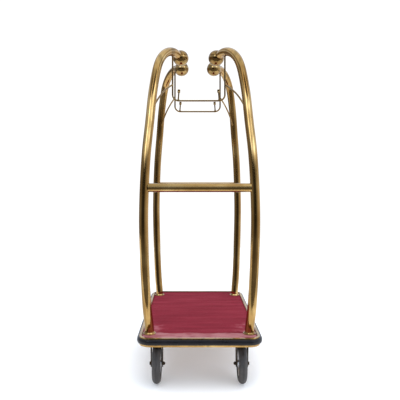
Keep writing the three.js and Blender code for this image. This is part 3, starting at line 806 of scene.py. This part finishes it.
def make_axle(name, centre, inner, body):
    """Bolt with a hexagon head outside the fork, and a washer and lock nut on its inner end."""
    place = aimed(centre, (inner, 0, 0))
    head = -FORK_OUTER_HALF - GAP
    tip = FORK_OUTER_HALF + 0.0118
    shank = [(AXLE_RADIUS, head - 0.001), (AXLE_RADIUS, tip - 0.0015), (AXLE_RADIUS - 0.0015, tip)]
    bolt = Shape().lathe(shank, place, sides=32)
    add_hex(bolt, place, 0.0100, head - 0.0070, head)
    fit(bolt.build(f"axle_{name}", DARK_BRONZE), body, f"axle_bolt_{name}")
    near = FORK_OUTER_HALF + GAP
    bore = AXLE_RADIUS + GAP
    washer = [(bore, near), (0.0098, near), (0.0098, near + 0.0015), (bore, near + 0.0015)]
    nut = Shape().lathe(washer, place, sides=40, closed=True)
    flats = ((0.0099, near + 0.0016), (0.0099, near + 0.0066), (0.0092, near + 0.0072))
    nut.skin([[place @ Vector((x, y, height)) for x, y in hexagon(size)] for size, height in flats])
    locking_ring = [(bore, near + 0.0072), (0.0080, near + 0.0072), (0.0074, near + 0.0088),
                    (bore, near + 0.0090)]
    nut.lathe(locking_ring, place, sides=40, closed=True)
    fit(nut.build(f"lock_nut_{name}", DARK_BRONZE), body, f"axle_nut_{name}")


def leg_outline(centre_y, crown_y, crown_z):
    """A fork leg in the (y, z) plane: wide at the crown, rounded round the axle."""
    tip = arc(centre_y, AXLE_Z, FORK_END_RADIUS, 180, 360, 20)
    return [(crown_y - CROWN_HALF_LENGTH, crown_z), *tip, (crown_y + CROWN_HALF_LENGTH, crown_z)]


def add_legs(shape, centre, crown_y, crown_z):
    outline = leg_outline(centre.y, crown_y, crown_z)
    for start in (-FORK_OUTER_HALF, FORK_INNER_HALF):
        rings = [[Vector((centre.x + start + depth, y, z)) for y, z in outline]
                 for depth in (0.0, FORK_LEG_THICKNESS)]
        shape.skin(rings)


def add_plate(shape, x, y):
    """Caster plate with rounded corners and four domed rivets under it."""
    outline = [(x + u, y + v) for u, v in rounded_rectangle(*PLATE_HALF, 0.008, 6)]
    shape.prism(outline, PLATE_BOTTOM, PLATE_TOP)
    rivet = [(0.0060, 0.0), (0.0060, 0.0010), (0.0048, 0.0028), (0.0024, 0.0038), (0.0008, 0.0040)]
    for sx, sy in CORNERS.values():
        spot = Vector((x + sx * 0.038, y + sy * 0.049, PLATE_BOTTOM))
        shape.lathe(rivet, aimed(spot, (0, 0, -1)), sides=20)


def make_rigid_caster(name, mount, centre):
    """Fixed caster: plate, pressed legs and the fold between them, in one piece."""
    fork = Shape()
    add_plate(fork, *mount)
    add_legs(fork, centre, mount[1], PLATE_BOTTOM + 0.001)
    fit(fork.build(f"fork_{name}", DARK_BRONZE, bevel=0.0008), "chassis", f"rigid_fork_{name}")


def make_swivel_caster(name, mount, centre, body):
    """Swivel caster: fixed plate with its headed kingpin, and a crown with a race that turns under it."""
    x, y = mount
    place = Matrix.Translation((x, y, 0))
    plate = Shape()
    add_plate(plate, x, y)
    head = CROWN_TOP - 0.0053
    plate.lathe([(0.0040, head - 0.0035), (0.0095, head - 0.0030), (0.0120, head - 0.0012), (0.0120, head),
                 (0.0079, head), (0.0079, PLATE_BOTTOM + 0.001)], place, sides=36)
    fit(plate.build(f"mount_plate_{name}", DARK_BRONZE, bevel=0.0006), "chassis", f"caster_plate_{name}")
    fork = Shape()
    bore = 0.0083
    race_top = PLATE_BOTTOM - GAP
    crown_bottom = CROWN_TOP - CROWN_THICKNESS
    race = [(bore, crown_bottom), (bore, race_top), (0.0280, race_top),
            *arc(0.0290, race_top - 0.0028, 0.0028, 80, 0, 5), (0.0318, CROWN_TOP - 0.0005),
            (0.0300, crown_bottom)]
    fork.lathe(race, place, sides=56, closed=True)
    crown_outline = rounded_rectangle(FORK_OUTER_HALF, CROWN_HALF_LENGTH, 0.004, 4)
    hole = [(bore * c, bore * s) for c, s in unit_circle(len(crown_outline))]
    turn = len(crown_outline) // 8
    hole = hole[turn:] + hole[:turn]
    loops = ((hole, crown_bottom), (crown_outline, crown_bottom),
             (crown_outline, CROWN_TOP), (hole, CROWN_TOP))
    fork.skin([[Vector((x + u, y + v, z)) for u, v in outline] for outline, z in loops], closed=True)
    add_legs(fork, centre, y, CROWN_TOP - 0.001)
    fit(fork.build(f"turning_fork_{name}", DARK_BRONZE, bevel=0.0008), body, f"swivel_fork_{name}")


def make_caster(name, corner):
    sx, sy = corner
    rear = sy > 0
    half_track, y = REAR_CASTER if rear else FRONT_CASTER
    mount = (sx * half_track, y)
    trail = REAR_TRAIL if rear else 0.0
    centre = Vector((mount[0], y + trail, AXLE_Z))
    fork_body = f"swivel_{name}" if rear else "chassis"
    if rear:
        make_swivel_caster(name, mount, centre, fork_body)
    else:
        make_rigid_caster(name, mount, centre)
    make_wheel(name, centre, f"wheel_{name}")
    make_axle(name, centre, -sx, fork_body)


# ---------------------------------------------------------------- stage

def make_floor():
    """White studio paper: it runs into the white surroundings and ends a little way in front of the cart. It
    glows with painted light, lower near the cart as a painted shade round it.
    """
    side, front, back = 5.0, -1.30, 5.0
    below = 0.0004
    outline = [(-side, front), (side, front), (side, back), (-side, back)]
    mesh = bpy.data.meshes.new("floor")
    mesh.from_pydata([(x, y, -below) for x, y in outline], [], [(0, 1, 2, 3)])
    paint = Paint("floor_paint", Base_Color=(0.815, 0.805, 0.785, 1), Roughness=0.9,
                  Specular_IOR_Level=0.1)
    paint.shader.inputs["Emission Color"].default_value = (1, 1, 1, 1)
    across, along = (paint.maths("MULTIPLY", paint.place(axis), paint.place(axis)) for axis in "XY")
    distance = paint.maths("SQRT", paint.maths("ADD", across, along))
    # Painted light: the glow is lower near the middle of the cart, a painted shade, and rises further out.
    painted_glow = paint.span(distance, 0.30, 0.65, 0.175, 0.29)
    paint.link(painted_glow, paint.shader.inputs["Emission Strength"])
    mesh.materials.append(paint.material)
    floor = bpy.data.objects.new("floor", mesh)
    bpy.context.scene.collection.objects.link(floor)


def light_ramp(nodes, value, tint, *stops):
    """Light levels round the horizon, all in one tint."""
    return nodes.ramp(value, *[(position, tuple(level * part for part in tint)) for position, level in stops])


def make_surroundings():
    """White studio. Polished metal sees a dark room in front, windows above it, white walls behind."""
    world = bpy.data.worlds.new("studio")
    bpy.context.scene.world = world
    world.use_nodes = True
    nodes = Nodes(world.node_tree, "Generated")
    ahead = nodes.maths("MULTIPLY", nodes.place("Y"), -1.0)
    turn = nodes.maths("ARCTAN2", nodes.place("X"), ahead)
    around = nodes.maths("ADD", nodes.maths("DIVIDE", turn, 2 * math.pi), 0.5)
    plain, cool = (1, 1, 1), (0.95, 1.12, 1.45)
    eye_level = light_ramp(nodes, around, plain, (0.0, 0.9), (0.06, 0.7), (0.12, 0.26), (0.31, 0.30),
                           (0.38, 0.08), (0.46, 0.035), (0.54, 0.05), (0.60, 0.40), (0.68, 0.62),
                           (0.76, 1.0), (1.0, 0.9))
    ground = light_ramp(nodes, around, plain, (0.0, 0.8), (0.10, 0.4), (0.22, 0.18), (0.38, 0.20),
                        (0.58, 0.24), (0.75, 0.3), (0.88, 0.7), (1.0, 0.8))
    windows = light_ramp(nodes, around, cool, (0.0, 1.0), (0.28, 0.8), (0.39, 0.9), (0.41, 4.0),
                         (0.45, 4.0), (0.465, 1.6), (0.52, 1.4), (0.54, 2.4), (0.58, 2.4),
                         (0.595, 0.9), (0.615, 4.0), (0.65, 4.0), (0.665, 1.4), (1.0, 1.0))
    ceiling_edge = light_ramp(nodes, around, plain, (0.0, 0.7), (0.22, 0.5), (0.36, 0.30), (0.415, 0.35),
                              (0.43, 2.6), (0.445, 2.6), (0.46, 0.28), (0.53, 0.15), (0.60, 0.35),
                              (0.615, 2.6), (0.63, 2.6), (0.645, 0.45), (0.76, 0.7), (1.0, 0.7))
    height = nodes.place("Z")
    ceiling = nodes.mix(nodes.span(height, 0.63, 0.76), ceiling_edge, (1.12, 1.24, 1.40))
    upper = nodes.mix(nodes.span(height, 0.455, 0.52), windows, ceiling)
    lower = nodes.mix(nodes.span(height, -0.10, -0.34), eye_level, ground)
    room = nodes.mix(nodes.span(height, 0.20, 0.36), lower, upper)
    light_path = world.node_tree.nodes.new("ShaderNodeLightPath")
    seen = nodes.mix(light_path.outputs["Is Camera Ray"], room, (1.1, 1.1, 1.1))
    nodes.link(seen, world.node_tree.nodes["Background"].inputs["Color"])
    bpy.context.scene.view_settings.view_transform = "Standard"


def add_lamp(name, place, aim, size, watts):
    light = bpy.data.lights.new(name, "AREA")
    light.shape = "RECTANGLE"
    light.size, light.size_y = size
    light.energy = watts
    lamp = bpy.data.objects.new(name, light)
    lamp.location = place
    lamp.rotation_euler = (Vector(aim) - Vector(place)).to_track_quat("-Z", "Y").to_euler()
    lamp.visible_glossy = False
    bpy.context.scene.collection.objects.link(lamp)


def make_camera():
    """A level camera a little left of the cart's middle, framed slightly down and to the right."""
    data = bpy.data.cameras.new("camera")
    data.lens = 45.45
    data.sensor_width = 36
    data.shift_x = 0.0249
    data.shift_y = -0.0512
    camera = bpy.data.objects.new("camera", data)
    camera.location = (-0.051, -3.195, 1.1067)
    camera.rotation_euler = (math.radians(90), 0, 0)
    bpy.context.scene.collection.objects.link(camera)
    bpy.context.scene.camera = camera


# ---------------------------------------------------------------- assembly

make_camera()
make_surroundings()
make_floor()
add_lamp("overhead_softbox", (0.3, -0.6, 3.4), (0, 0, 0.6), (3.0, 3.0), 60)

make_edge_channel()
make_bumper()
make_carpet()
for corner_name, signs in CORNERS.items():
    make_post(corner_name, signs)
    make_finial(corner_name, signs)
    make_flange(corner_name, signs)
    make_anchor(corner_name, signs)
    make_brace(corner_name, signs)
    make_peg(corner_name, signs)
    make_caster(corner_name, signs)
for end_name, end_side in (("front", -1), ("rear", 1)):
    make_push_bar(end_name, end_side)
    make_hanger_frame(end_name, end_side)

for node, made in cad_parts.items():
    if node == "deck_board":
        made.data.materials[0] = PLYWOOD
    elif node.startswith("cross_member"):
        made.data.materials[0] = ZINC_STEEL
